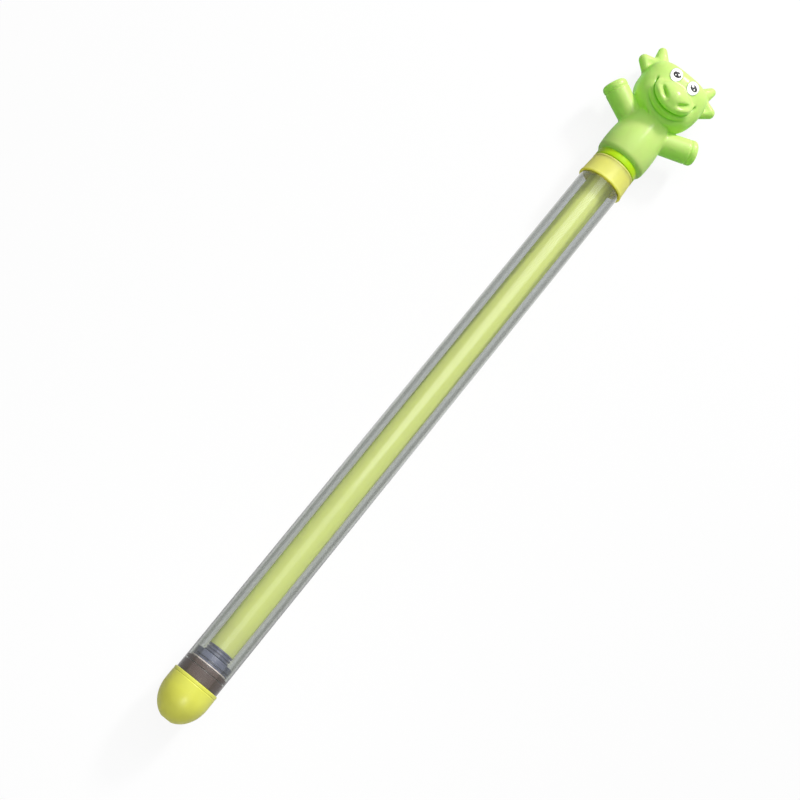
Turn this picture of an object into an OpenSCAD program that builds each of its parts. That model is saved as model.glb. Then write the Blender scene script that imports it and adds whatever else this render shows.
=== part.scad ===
// Pull-and-push water squirter with a calf figure as its handle.
// It is drawn standing on its nozzle, then laid on its back:
// the barrel axis is +X from the nozzle's mouth, and the figure looks up along +Z.

/* [Barrel] */
// Outer diameter of the clear tube
tube_od = 26; // [22:0.1:32]
// Wall of the clear tube
tube_wall = 1.3; // [0.8:0.1:2.2]
// Clear length between the nozzle cap and the collar
tube_show = 355; // [150:1:450]

/* [Nozzle cap] */
// Length of the taper between the domed end and the sleeve
cap_taper = 4; // [2:0.5:10]
// Wall of the cap's sleeve round the tube
cap_wall = 0.7; // [0.6:0.05:2]
// Length of the straight sleeve over the tube, which a holder can grip
cap_grip = 8; // [5:0.2:9]
// How far the domed end stays inside the sleeve's outline
dome_step = 0.9; // [0.4:0.05:2]
// Wall of the domed end
dome_wall = 1.8; // [1.2:0.1:3]
// Diameter of the flat ring round the mouth
tip_d = 6; // [5:0.2:10]
// Diameter of the nozzle's mouth
mouth_d = 3; // [1.5:0.1:5]
// Length of the straight mouth
mouth_len = 3; // [2:0.1:5]
// Rounding of the rim
cap_round = 0.5; // [0.2:0.05:0.6]

/* [Collar] */
// Height of the collar
collar_h = 13.2; // [10:0.1:20]
// Outer diameter at its foot
collar_foot_d = 28.4; // [28:0.1:36]
// Outer diameter at its top
collar_top_d = 26.6; // [24:0.1:30]
// Thickness of the top web
collar_web = 2.6; // [1.5:0.1:4]
// Wall of the two inner sleeves
guide_wall = 1.3; // [0.8:0.1:1.8]
// Rounding of the foot and top edges
collar_round = 0.5; // [0.2:0.05:0.6]

/* [Rod] */
// Outer diameter of the hollow rod
rod_od = 15.2; // [12:0.1:17]
// Wall of the rod
rod_wall = 1.2; // [0.8:0.1:2]
// Rod length inside the figure's ferrule
rod_grip = 18; // [10:0.5:22]

/* [Piston] */
// Height of the screw head above the tube's foot when the plunger is home
piston_lift = 1.3; // [0.6:0.1:4]
// Length of the ribbed neck under the rod
neck_len = 5.2; // [3:0.1:8]
// Number of ribs on the neck
neck_ribs = 3; // [2:1:4]
// Height of each rib over the neck
rib_h = 0.7; // [0.3:0.1:1.2]
// Length of the flange
flange_len = 5; // [3:0.1:8]
// Width of the groove that parts the flange
groove_w = 0.9; // [0.5:0.1:1.5]
// Depth of that groove
groove_d = 1.2; // [0.5:0.1:2]
// Length of the plug's spigot inside the rod
spigot_len = 14; // [8:0.5:20]
// Diameter of the stem that carries the seal
stem_d = 8; // [6:0.1:10]
// Thickness of the pale washer over the seal
washer_t = 0.7; // [0.4:0.1:1.5]
// Length of the rubber seal
seal_len = 12; // [8:0.5:18]
// Width of each sealing lip
lip_w = 2.4; // [1.5:0.1:4]
// Depth of the seal's waist between its lips
waist = 0.6; // [0.3:0.1:1.5]
// Thickness of the retaining disc
retainer_t = 1.4; // [1:0.1:2.5]
// Diameter of the retaining disc
retainer_d = 18; // [14:0.5:20]
// Diameter of the screw's shank
screw_d = 3; // [2.5:0.1:4]
// Diameter of the screw's head
screw_head_d = 7; // [5.5:0.1:9]
// Height of the screw's head
screw_head_h = 2.2; // [1.6:0.1:3]
// Depth of the screw in the plug's stem
screw_bite = 11; // [6:0.5:14]
// Width of the screw's cross slot
slot_w = 0.9; // [0.6:0.1:1.2]

/* [Figure body] */
// Height of the ferrule's band between collar and figure
band_h = 4; // [2:0.1:7]
// Diameter of that band
band_d = 26.6; // [25:0.1:28]
// Diameter of the torso at its widest
torso_d = 30.8; // [29:0.2:36]
// Height of the widest ring over the torso's foot
torso_mid = 10; // [6:0.5:16]
// Half height of the egg that the torso is cut from
torso_half = 36; // [32:0.5:44]
// Wall of the figure's shells
shell_wall = 1.8; // [1.2:0.1:2.4]
// Height of the arms' axis over the torso's foot
arm_z = 22; // [18:0.5:26]
// Angle at which the arms rise
arm_rise = 24; // [0:1:35]
// Reach of an arm from the axis of the barrel
arm_reach = 34.4; // [28:0.2:40]
// Diameter of an arm at its root
arm_root_d = 13.4; // [10:0.2:15]
// Diameter of an arm at its tip
arm_tip_d = 15; // [12:0.2:17]
// Rounding of an arm's end
arm_round = 2.8; // [1:0.1:4]
// Distance of the cuff groove from an arm's end
cuff_back = 4.8; // [4:0.1:8]
// Width of the cuff groove
cuff_w = 0.5; // [0.3:0.1:1]

/* [Figure head] */
// Height of the head's centre over the torso's foot
head_z = 53.4; // [50:0.2:58]
// Head's centre in front of the barrel axis
head_front = -0.5; // [-3:0.1:3]
// Half width, half depth and half height of the skull
skull = [20.6, 16, 14]; // [10:0.1:24]
// Squareness of the skull, where 2 is an ellipsoid
skull_square = 3.1; // [2:0.1:4]
// Distance from the head's centre to the flat at its back, on which the squirter lies still
head_back = 15.5; // [13:0.1:20]
// Half width, half depth and half height of the jaw
jaw = [18.4, 14, 13.2]; // [10:0.1:24]
// Place of the jaw from the head's centre
jaw_at = [0, 3.5, -9.9]; // [-12:0.1:10]
// Half width, half depth and half height of the muzzle
muzzle = [14.6, 18, 12]; // [8:0.1:24]
// Place of the muzzle from the head's centre
muzzle_at = [0, 8, -10.2]; // [-12:0.1:12]
// Sharpness of the blend between skull, jaw and muzzle
blend = 14; // [6:1:30]
// Wall of the head under the deepest groove of the face
face_wall = 1.6; // [1.2:0.1:2.4]
// Place of a horn's root from the head's centre
horn_root = [14.6, -2.9, 11.8]; // [-30:0.1:30]
// Place of a horn's tip from the head's centre
horn_tip = [18.7, -3.5, 21]; // [-30:0.1:30]
// Diameter of a horn at its root
horn_d = 9.2; // [6:0.1:12]
// Diameter of a horn's rounded tip
horn_tip_d = 4.8; // [3:0.1:6]
// Place of an ear's upper root from the head's centre
ear_top = [17.8, -2.6, 11.4]; // [-30:0.1:30]
// Place of an ear's lower root from the head's centre
ear_low = [19.2, -2.6, 4.4]; // [-30:0.1:30]
// Place of an ear's tip from the head's centre
ear_tip = [25.2, -2.6, 9.4]; // [-30:0.1:30]
// Thickness of an ear
ear_t = 5.4; // [3:0.1:7]
// Depth of the dish in an ear
ear_dish = 0.9; // [0.3:0.1:1.5]
// Half width and half height of an eye
eye = [4.1, 5.3]; // [2:0.1:6]
// Sideways and upward place of an eye from the head's centre
eye_at = [5.6, 5.1]; // [2:0.1:14]
// Height of the eyes over the skin
eye_raise = 0.4; // [0.2:0.1:1]
// Lean of the nostrils away from the muzzle's middle
nostril_tilt = 30.5; // [18:0.5:36]
// Turns of a nostril's two ends round the muzzle, below level
nostril_turn = [44, 72]; // [10:1:80]
// Diameter of a nostril
nostril_d = 3.4; // [2:0.1:5]
// Lean of the smile away from the muzzle's middle
smile_tilt = 41.5; // [38:0.5:48]
// How much further the smile leans away at its ends
smile_open = 3.3; // [0:0.1:6]
// Part of a half turn that the smile spans
smile_span = 156; // [90:2:176]
// Width of the smile's groove
smile_w = 1.7; // [1:0.1:3]
// Lean of the crease under the lower lip away from the muzzle's middle
lip_tilt = 54; // [50:0.5:62]
// Part of a half turn that the lower lip spans
lip_span = 100; // [60:2:140]

/* [Fits] */
// Gap of glued and pressed joints
glue_gap = 0.05; // [0:0.01:0.15]
// Radial gap of the seal in the tube and on its stem
run_gap = 0.04; // [0.01:0.01:0.1]
// Gap between pieces that move past each other
move_gap = 0.35; // [0.2:0.05:0.6]
// Gap between the collar and the figure's ferrule when the plunger is home
rest_gap = 0.4; // [0.3:0.1:1.5]

/* [Hidden] */
$fn = 56;
fine = 24;
over = 0.01;
far = 200;

// Barrel stations, measured from the nozzle's mouth
tube_r = tube_od / 2;
bore_r = tube_r - tube_wall;
socket_r = tube_r + glue_gap;
cap_r = socket_r + cap_wall;
dome_r = cap_r - dome_step;
dome_z = sqrt(pow(dome_r, 2) - pow(tip_d / 2, 2));
tube_foot = dome_z + cap_taper;
cap_len = tube_foot + cap_grip;
collar_foot = cap_len + tube_show;
collar_top = collar_foot + collar_h;
tube_top = collar_top - collar_web;

// Plunger stations
rod_r = rod_od / 2;
rod_in = rod_r - rod_wall;
head_foot = tube_foot + piston_lift;
retainer_foot = head_foot + screw_head_h;
seal_foot = retainer_foot + retainer_t + move_gap;
seal_top = seal_foot + seal_len;
washer_foot = seal_top + move_gap;
flange_foot = washer_foot + washer_t;
flange_top = flange_foot + flange_len;
rod_foot = flange_top + neck_len;
flange_r = bore_r - move_gap;
neck_r = rod_r - rib_h;
stem_r = stem_d / 2;
stem_foot = retainer_foot + retainer_t;

// Ferrule and figure stations
band_foot = collar_top + rest_gap;
figure_foot = band_foot + band_h;
ferrule_lid = 2;
rod_top = band_foot + rod_grip;
ferrule_wall = 1.6;
ferrule_r = rod_r + glue_gap + ferrule_wall;
clamp_t = 2.2;
clamp_rim = 2;
clamp_r = ferrule_r + clamp_rim;
torso_r = torso_d / 2;
torso_top = head_z - 0.7 * skull[2];
head_at = [0, head_front, figure_foot + head_z];
peg_d = 3;
boss_d = 6.4;
peg_len = 4;
boss_at = [skull[0] / 2, 0];
skin_rings = 26;
skin_turns = 40;
hollow_rings = 14;
hollow_turns = 24;
smile_steps = 16;
crease_steps = 10;
crease_w = 0.8 * smile_w;
head_wall = face_wall + max(smile_w, nostril_d / 2);
torso_steps = 14;

// Lays the standing squirter on its back
module lay_down() {
    rotate([90, 0, 90])
        children();
}

// Both sides of the figure
module both_sides() {
    children();
    mirror([1, 0, 0])
        children();
}

module ring(outer_r, inner_r, foot, top) {
    translate([0, 0, foot])
        difference() {
            cylinder(r = outer_r, h = top - foot);
            translate([0, 0, -over])
                cylinder(r = inner_r, h = top - foot + 2 * over);
        }
}

module disc(r, foot, top) {
    translate([0, 0, foot])
        cylinder(r = r, h = top - foot);
}

// Solid turned from a cone with rounded edges at its wide foot and its top
module rounded_cone(foot_r, top_r, h, edge) {
    slope = (foot_r - top_r) / h;
    rotate_extrude()
        union() {
            polygon([
                [0, 0],
                [foot_r - edge, 0],
                [foot_r - slope * edge, edge],
                [top_r + slope * edge, h - edge],
                [top_r - edge, h],
                [0, h]
            ]);
            translate([foot_r - slope * edge - edge, edge])
                circle(r = edge);
            translate([top_r + slope * edge - edge, h - edge])
                circle(r = edge);
        }
}

// Barrel

module barrel_tube() {
    color([0.8, 0.84, 0.86, 0.35])
        lay_down()
            ring(tube_r, bore_r, tube_foot, tube_top);
}

module nozzle_cap() {
    chamber_r = min(bore_r, dome_r - dome_wall);
    color([0.84, 0.85, 0.37])
        lay_down()
            difference() {
                union() {
                    intersection() {
                        translate([0, 0, dome_z])
                            sphere(r = dome_r);
                        disc(cap_r, 0, dome_z);
                    }
                    translate([0, 0, dome_z])
                        cylinder(r1 = dome_r, r2 = cap_r, h = cap_taper);
                    disc(cap_r, tube_foot, cap_len - cap_round);
                    disc(cap_r - cap_round, tube_foot, cap_len);
                    translate([0, 0, cap_len - cap_round])
                        rotate_extrude()
                            translate([cap_r - cap_round, 0])
                                circle(r = cap_round);
                }
                disc(socket_r, tube_foot, cap_len + over);
                translate([0, 0, mouth_len])
                    cylinder(r1 = mouth_d / 2, r2 = chamber_r, h = tube_foot - mouth_len + over);
                disc(mouth_d / 2, -over, mouth_len + over);
            }
}

module collar() {
    guide_r = rod_r + move_gap;
    color([0.85, 0.86, 0.4])
        lay_down()
            difference() {
                translate([0, 0, collar_foot])
                    rounded_cone(collar_foot_d / 2, collar_top_d / 2, collar_h, collar_round);
                ring(socket_r, bore_r - glue_gap, collar_foot - over, tube_top);
                ring(bore_r - glue_gap - guide_wall, guide_r + guide_wall, collar_foot - over, tube_top);
                disc(guide_r, collar_foot - over, collar_top + over);
                disc(socket_r, collar_foot - over, collar_foot + collar_round);
            }
}

// Plunger

module plunger_rod() {
    color([0.82, 0.86, 0.55])
        lay_down()
            ring(rod_r, rod_in, rod_foot, rod_top);
}

module piston_plug() {
    pitch = neck_len / neck_ribs;
    groove_foot = flange_foot + groove_w;
    color([0.42, 0.45, 0.54])
        lay_down()
            difference() {
                union() {
                    disc(stem_r, stem_foot, flange_foot);
                    disc(flange_r, flange_foot, flange_top);
                    disc(neck_r, flange_top, rod_foot);
                    for (i = [0 : neck_ribs - 1])
                        disc(rod_r, flange_top + (i + 0.5) * pitch, flange_top + (i + 1) * pitch);
                    disc(rod_in - glue_gap, rod_foot, rod_foot + spigot_len);
                }
                ring(flange_r + over, flange_r - groove_d, groove_foot, groove_foot + groove_w);
                disc(screw_d / 2, stem_foot - over, stem_foot + screw_bite);
            }
}

module seal_washer() {
    color([0.86, 0.82, 0.78])
        lay_down()
            ring(flange_r, stem_r + glue_gap, washer_foot, flange_foot);
}

module piston_seal() {
    lip_r = bore_r - run_gap;
    color([0.16, 0.14, 0.14])
        lay_down()
            difference() {
                union() {
                    disc(lip_r, seal_foot, seal_foot + lip_w);
                    disc(lip_r - waist, seal_foot, seal_top);
                    disc(lip_r, seal_top - lip_w, seal_top);
                }
                disc(stem_r + run_gap, seal_foot - over, seal_top + over);
            }
}

module seal_retainer() {
    color([0.42, 0.45, 0.54])
        lay_down()
            ring(retainer_d / 2, screw_d / 2 + glue_gap, retainer_foot, stem_foot);
}

module piston_screw() {
    slot_depth = screw_head_h / 2;
    color([0.7, 0.7, 0.72])
        lay_down()
            difference() {
                union() {
                    disc(screw_head_d / 2, head_foot, retainer_foot);
                    disc(screw_d / 2 - glue_gap, head_foot, stem_foot + screw_bite - move_gap);
                }
                for (turn = [0, 90])
                    translate([0, 0, head_foot])
                        rotate([0, 0, turn])
                            cube([0.7 * screw_head_d, slot_w, 2 * slot_depth], center = true);
            }
}

module rod_ferrule() {
    color([0.6, 0.8, 0.12])
        lay_down()
            difference() {
                union() {
                    disc(band_d / 2, band_foot, figure_foot);
                    disc(ferrule_r, band_foot, rod_top + ferrule_lid);
                    disc(clamp_r, figure_foot + clamp_t, figure_foot + clamp_t + clamp_rim);
                }
                disc(rod_r + glue_gap, band_foot - over, rod_top);
            }
}

// Figure

// Reach from the head's centre to an ellipsoid's skin along a unit direction
function reach(dir, half, centre) =
    let (
        d = [for (i = [0 : 2]) dir[i] / half[i]],
        c = [for (i = [0 : 2]) centre[i] / half[i]],
        a = d * d,
        b = d * c
    )
    max(0, b + sqrt(max(0, b * b - a * (c * c - 1)))) / a;

// Reach from the head's centre to the squared skull round it
function skull_reach(dir) =
    let (share = [for (i = [0 : 2]) pow(abs(dir[i]) / skull[i], skull_square)])
    pow(share[0] + share[1] + share[2], -1 / skull_square);

// Skull, jaw and muzzle run into one skin: the furthest wins, and near equals swell together
function blended_reach(dir) =
    pow(
        pow(skull_reach(dir), blend)
        + pow(reach(dir, jaw, jaw_at), blend)
        + pow(reach(dir, muzzle, muzzle_at), blend),
        1 / blend
    );

// The skin stops at the flat of the back
function skin_reach(dir) =
    dir[1] < 0 ? min(blended_reach(dir), head_back / -dir[1]) : blended_reach(dir);

// Direction that leans away from straight ahead and is turned round that line
function face_dir(tilt, turn) = [sin(tilt) * cos(turn), cos(tilt), sin(tilt) * sin(turn)];

function skin_point(tilt, turn, inset = 0) =
    let (dir = face_dir(tilt, turn))
    (skin_reach(dir) - inset) * dir;

module head_skin(inset, rings, turns) {
    tilt_step = 180 / rings;
    turn_step = 360 / turns;
    inner = [for (i = [1 : rings - 1], j = [0 : turns - 1]) skin_point(i * tilt_step, j * turn_step, inset)];
    tail = len(inner) + 1;
    points = concat([skin_point(0, 0, inset)], inner, [skin_point(180, 0, inset)]);
    nose_fan = [for (j = [0 : turns - 1]) [0, 1 + j, 1 + (j + 1) % turns]];
    bands = [
        for (i = [0 : rings - 3], j = [0 : turns - 1])
            let (a = 1 + i * turns, k = (j + 1) % turns)
            each [[a + j, a + turns + j, a + turns + k], [a + j, a + turns + k, a + k]]
    ];
    last = 1 + (rings - 2) * turns;
    tail_fan = [for (j = [0 : turns - 1]) [tail, last + (j + 1) % turns, last + j]];
    translate(head_at)
        polyhedron(points = points, faces = concat(nose_fan, bands, tail_fan));
}

// Egg-shaped torso, from its sharp foot up into the head
module torso(inset, foot) {
    step = (torso_top - foot) / torso_steps;
    side = [
        for (i = [0 : torso_steps])
            let (h = foot + i * step)
            [torso_r * sqrt(1 - pow((h - torso_mid) / torso_half, 2)) - inset, h]
    ];
    translate([0, 0, figure_foot])
        rotate_extrude()
            polygon(concat([[0, foot]], side, [[0, torso_top]]));
}

// Places its children along the right arm, with the arm's root at the barrel axis
module along_arm() {
    translate([0, 0, figure_foot + arm_z])
        rotate([0, 90 - arm_rise, 0])
            children();
}

module arm(inset) {
    edge = arm_round - inset / 2;
    along_arm()
        hull() {
            cylinder(r = arm_root_d / 2 - inset, h = 1, $fn = fine);
            translate([0, 0, arm_reach - inset - edge])
                rotate_extrude($fn = fine)
                    translate([arm_tip_d / 2 - inset - edge, 0])
                        circle(r = edge, $fn = fine / 2);
        }
}

module cuff_groove() {
    along_arm()
        translate([0, 0, arm_reach - cuff_back])
            rotate_extrude($fn = fine)
                translate([arm_tip_d / 2, 0])
                    circle(r = cuff_w, $fn = fine / 4);
}

module horn() {
    translate(head_at)
        hull() {
            translate(horn_root)
                sphere(d = horn_d, $fn = fine);
            translate(horn_tip)
                sphere(d = horn_tip_d, $fn = fine);
        }
}

module ear() {
    corners = [ear_top, ear_low, ear_tip];
    middle = (ear_top + ear_low + ear_tip) / 3;
    dish_r = norm(ear_tip - middle);
    translate(head_at)
        difference() {
            hull()
                for (corner = corners)
                    translate(corner)
                        sphere(d = ear_t, $fn = fine);
            translate(middle + [0, dish_r + ear_t / 2 - ear_dish, 0])
                sphere(r = dish_r, $fn = fine);
        }
}

// Eye that stands a little over the skin and follows it
module eye_pad() {
    intersection() {
        head_skin(-eye_raise, skin_rings, skin_turns);
        translate(head_at + [eye_at[0], 0, eye_at[1]])
            rotate([-90, 0, 0])
                linear_extrude(height = far)
                    scale(eye)
                        circle(r = 1, $fn = fine);
    }
}

module nostril() {
    translate(head_at)
        hull()
            for (turn = nostril_turn)
                translate(skin_point(nostril_tilt, -turn, -nostril_d / 6))
                    sphere(d = nostril_d, $fn = fine / 2);
}

// Groove that curves round the underside of the muzzle, and leans further away at its ends
module face_crease(tilt, open, span, width, steps) {
    translate(head_at)
        for (i = [0 : steps - 1])
            hull()
                for (k = [i, i + 1])
                    let (side = 2 * k / steps - 1)
                        translate(skin_point(tilt + open * pow(side, 2), side * span / 2 - 90, width / 6))
                            sphere(d = width, $fn = fine / 3);
}

// Straight posts inside the head that join the two shells
module across_boss(d, from, to) {
    both_sides()
        translate(head_at + [boss_at[0], from - head_front, boss_at[1]])
            rotate([-90, 0, 0])
                cylinder(d = d, h = to - from, $fn = fine);
}

module figure_shell() {
    difference() {
        union() {
            torso(0, 0);
            head_skin(0, skin_rings, skin_turns);
            both_sides() {
                arm(0);
                horn();
                ear();
                eye_pad();
            }
        }
        difference() {
            union() {
                torso(shell_wall, clamp_t);
                head_skin(head_wall, hollow_rings, hollow_turns);
                both_sides()
                    arm(shell_wall);
            }
            across_boss(boss_d, -far, far);
        }
        both_sides() {
            cuff_groove();
            nostril();
        }
        face_crease(smile_tilt, smile_open, smile_span, smile_w, smile_steps);
        face_crease(lip_tilt, 0, lip_span, crease_w, crease_steps);
        disc(ferrule_r + glue_gap, figure_foot - over, figure_foot + clamp_t + over);
    }
}

// Keeps the half of the figure on one side of its seam: 1 is the front, -1 the back
module figure_half(side) {
    intersection() {
        figure_shell();
        translate([-far, side > 0 ? 0 : -2 * far, 0])
            cube([2 * far, 2 * far, 5 * far]);
    }
}

module figure_front() {
    color([0.56, 0.8, 0.3])
        lay_down() {
            figure_half(1);
            across_boss(peg_d, -peg_len, over);
        }
}

module figure_back() {
    color([0.52, 0.77, 0.27])
        lay_down()
            difference() {
                figure_half(-1);
                across_boss(peg_d + 2 * glue_gap, -peg_len - move_gap, over);
            }
}

barrel_tube();
nozzle_cap();
collar();
plunger_rod();
piston_plug();
seal_washer();
piston_seal();
seal_retainer();
piston_screw();
rod_ferrule();
figure_front();
figure_back();
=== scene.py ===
import math

import bmesh
import bpy
import numpy as np
from mathutils import Matrix, Vector


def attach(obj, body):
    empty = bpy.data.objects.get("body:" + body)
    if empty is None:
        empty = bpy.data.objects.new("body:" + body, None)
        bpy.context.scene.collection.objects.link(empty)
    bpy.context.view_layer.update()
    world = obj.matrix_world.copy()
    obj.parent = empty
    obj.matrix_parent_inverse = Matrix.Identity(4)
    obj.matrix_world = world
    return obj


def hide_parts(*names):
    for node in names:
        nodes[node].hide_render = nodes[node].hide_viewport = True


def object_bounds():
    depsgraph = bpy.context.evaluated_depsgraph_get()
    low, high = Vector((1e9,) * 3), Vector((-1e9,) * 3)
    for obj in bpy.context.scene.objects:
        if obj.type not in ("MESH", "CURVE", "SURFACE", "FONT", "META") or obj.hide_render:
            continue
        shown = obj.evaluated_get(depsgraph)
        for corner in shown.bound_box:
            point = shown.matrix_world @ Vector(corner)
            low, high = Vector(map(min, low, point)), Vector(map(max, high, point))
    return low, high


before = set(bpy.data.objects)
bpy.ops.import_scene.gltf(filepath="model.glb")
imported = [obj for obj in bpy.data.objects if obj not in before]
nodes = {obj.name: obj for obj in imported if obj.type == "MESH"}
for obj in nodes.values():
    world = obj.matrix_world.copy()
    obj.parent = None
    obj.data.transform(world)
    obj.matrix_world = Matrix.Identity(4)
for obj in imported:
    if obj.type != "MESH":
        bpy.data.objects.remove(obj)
cad_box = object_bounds()

# Meshing
MM = 0.001  # metres in a millimetre
TURNS = 128  # segments round a turned piece
CORNER_STEPS = 5  # points on a rounded corner
CORNER_SHARE = 0.45  # largest share of a side that a rounded corner takes
DOME_STEPS = 30  # points along the cap's dome
TURNED_SHARP = 35  # degrees from which an edge of a turned piece stays sharp
FIGURE_SHARP = 50  # the same on the figure
PRINT_SHARP = 60  # the same on the printed eyes

# Sizes are in millimetres, as in the part's source. R is a radius, X0 and X1 are ends along the barrel.

# Corner radii of the turned profiles
SQUARE = 0
HAIR = 0.05
FINE = 0.1
CRISP = 0.15
EDGE = 0.2
SOFT = 0.3
LIP_EDGE = 0.35
ROUND = 0.4
FOOT_EDGE = 0.45
FULL = 0.5
LEAD = 0.8

# Tube
TUBE_R = 13.0
BORE_R = 11.7
TUBE_SHOWN = 355.0  # length between cap and collar
GLUE = 0.05  # gap of a glued joint

# Nozzle cap
CAP_R = 13.75
SOCKET_R = TUBE_R + GLUE  # socket round the tube, in cap and collar
DOME_R = 12.85
CAP_TAPER = 4.0
CAP_GRIP = 8.0
TIP_R = 3.0
MOUTH_R = 1.5
MOUTH_LEN = 3.0
CHAMBER_R = 11.05
RIM_GROOVE = 2.0  # from the rim to the middle of the groove under it
RIM_GROOVE_TOP = 0.3  # half the groove's width at the skin
RIM_GROOVE_FLOOR = 0.1  # half the groove's width at its floor
RIM_GROOVE_DEEP = 0.18
TUBE_X0 = math.sqrt(DOME_R**2 - TIP_R**2) + CAP_TAPER
CAP_X1 = TUBE_X0 + CAP_GRIP

# Collar: a tapered wall with a lip at each end, and two sleeves inside
COLLAR_LEN = 13.2
COLLAR_WEB = 2.6
COLLAR_FOOT_R = 14.2
COLLAR_TOP_R = 13.3
FOOT_LIP = 1.3
FOOT_LIP_R = 14.15
TOP_LIP = 1.05
TOP_LIP_R = 13.4
LIP_STEP = 0.25  # length of the step from a lip to the wall
WALL_FOOT_R = 13.9
WALL_TOP_R = 13.2
SLEEVE_SET = 0.5  # how far the sleeves stand back from the collar's foot
GUIDE_R = 7.95
GUIDE_OUT_R = 9.25
RING_R = 10.35
RING_OUT_R = 11.65
COLLAR_X0 = CAP_X1 + TUBE_SHOWN
COLLAR_X1 = COLLAR_X0 + COLLAR_LEN
TUBE_X1 = COLLAR_X1 - COLLAR_WEB
SLEEVE_X0 = COLLAR_X0 + SLEEVE_SET

# Piston stack, from the screw's head up to the rod
PISTON_LIFT = 1.3
SCREW_HEAD = 2.2
RETAINER_T = 1.4
SEAL_GAP = 0.35
SEAL_LEN = 12.0
SEAL_GRIP = 0.04  # gap between the rubber and the plug's stem
SQUEEZE = 0.02  # how far the rubber presses into the tube's wall
LIP_W = 2.4
LIP_GROOVE = 0.3  # half the width of the groove beside a lip
LIP_GROOVE_DEEP = 0.6
WASHER_T = 0.7
FLANGE_LEN = 5.0
FLANGE_GAP = 0.35
FLANGE_GROOVE = 0.9  # the flange's groove, as wide as its distance from the washer
FLANGE_GROOVE_DEEP = 1.2
NECK_LEN = 5.2
NECK_R = 6.9
NECK_RIBS = 3
STEM_R = 4.0
SCREW_R = 1.5
SCREW_BITE = 11.0
SPIGOT_R = 6.35
SPIGOT_LEN = 14.0
STEM_X0 = TUBE_X0 + PISTON_LIFT + SCREW_HEAD + RETAINER_T
SEAL_X0 = STEM_X0 + SEAL_GAP
SEAL_X1 = SEAL_X0 + SEAL_LEN
WASHER_X0 = SEAL_X1 + SEAL_GAP
FLANGE_X0 = WASHER_X0 + WASHER_T
FLANGE_X1 = FLANGE_X0 + FLANGE_LEN
FLANGE_R = BORE_R - FLANGE_GAP
LIP_R = BORE_R + SQUEEZE

# Rod and ferrule
ROD_R = 7.6
ROD_IN_R = 6.4
ROD_GRIP = 18.0
BAND_GAP = 0.4
BAND_LEN = 4.0
BAND_R = 13.3
FERRULE_WALL = 1.6
FERRULE_RING = 2.0  # length and height of the ring that the figure closes round
FERRULE_END = 2.0
FOOT_PLATE = 2.2  # thickness of the figure's foot
ROD_X0 = FLANGE_X1 + NECK_LEN
BAND_X0 = COLLAR_X1 + BAND_GAP
FOOT_X = BAND_X0 + BAND_LEN
ROD_X1 = BAND_X0 + ROD_GRIP
FERRULE_IN_R = ROD_R + GLUE
FERRULE_R = FERRULE_IN_R + FERRULE_WALL


# Meshes and pieces
def add_object(name, data):
    obj = bpy.data.objects.new(name, data)
    bpy.context.scene.collection.objects.link(obj)
    return obj


def add_piece(name, mesh, body, replaced=None):
    """Puts a mesh in the scene as a piece that rides on a body."""
    obj = add_object(name, mesh)
    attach(obj, body)
    if replaced:
        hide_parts(replaced)


def make_mesh(name, verts, faces, material, sharp):
    mesh = bpy.data.meshes.new(name)
    mesh.from_pydata([tuple(v) for v in verts], [], [tuple(f) for f in faces])
    mesh.validate()
    mesh.update()
    mesh.shade_smooth()
    mesh.set_sharp_from_angle(angle=math.radians(sharp))
    mesh.materials.append(material)
    return mesh


def turn_outward(mesh, merge=None):
    """Turns a mesh's faces outward, after joining vertices within the merge distance."""
    bm = bmesh.new()
    bm.from_mesh(mesh)
    if merge:
        bmesh.ops.remove_doubles(bm, verts=bm.verts, dist=merge)
    bmesh.ops.recalc_face_normals(bm, faces=bm.faces)
    bm.to_mesh(mesh)
    bm.free()


def fillet(points):
    """Rounds the corners of a profile of (x, r, corner radius) points."""
    from_axis = points[0][1] == 0
    ends = (0, len(points) - 1)
    line = []
    for i, (x, r, corner) in enumerate(points):
        if corner <= 0 or (from_axis and i in ends):
            line.append((x, r))
            continue
        here = np.array([x, r])
        before = np.array(points[i - 1][:2]) - here
        after = np.array(points[(i + 1) % len(points)][:2]) - here
        length_before = np.linalg.norm(before)
        length_after = np.linalg.norm(after)
        cut = min(corner, CORNER_SHARE * length_before, CORNER_SHARE * length_after)
        start = here + cut * before / length_before
        end = here + cut * after / length_after
        for t in np.linspace(0, 1, CORNER_STEPS):
            line.append(tuple((1 - t) ** 2 * start + 2 * t * (1 - t) * here + t * t * end))
    return line


def lathe(name, profile, material, body, replaced):
    """Turns a profile round the barrel axis. It is a closed loop, or runs from the axis to the axis."""
    line = fillet(profile)
    verts = []
    rings = []
    for x, r in line:
        if r == 0:
            rings.append([len(verts)])
            verts.append((x * MM, 0, 0))
            continue
        rings.append(list(range(len(verts), len(verts) + TURNS)))
        for j in range(TURNS):
            a = 2 * math.pi * j / TURNS
            verts.append((x * MM, r * MM * math.cos(a), r * MM * math.sin(a)))
    pairs = list(zip(rings, rings[1:]))
    if line[0][1] != 0:
        pairs.append((rings[-1], rings[0]))
    faces = []
    for a, b in pairs:
        for j in range(TURNS):
            k = (j + 1) % TURNS
            if len(a) == 1:
                faces.append((a[0], b[j], b[k]))
            elif len(b) == 1:
                faces.append((a[j], b[0], a[k]))
            else:
                faces.append((a[j], b[j], b[k], a[k]))
    mesh = make_mesh(name, verts, faces, material, TURNED_SHARP)
    turn_outward(mesh)
    add_piece(name, mesh, body, replaced)


def dress(node, material):
    """Gives a CAD node that stays in view its material and smooth shading."""
    mesh = nodes[node].data
    mesh.materials.clear()
    mesh.materials.append(material)
    mesh.shade_smooth()
    mesh.set_sharp_from_angle(angle=math.radians(TURNED_SHARP))


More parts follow.
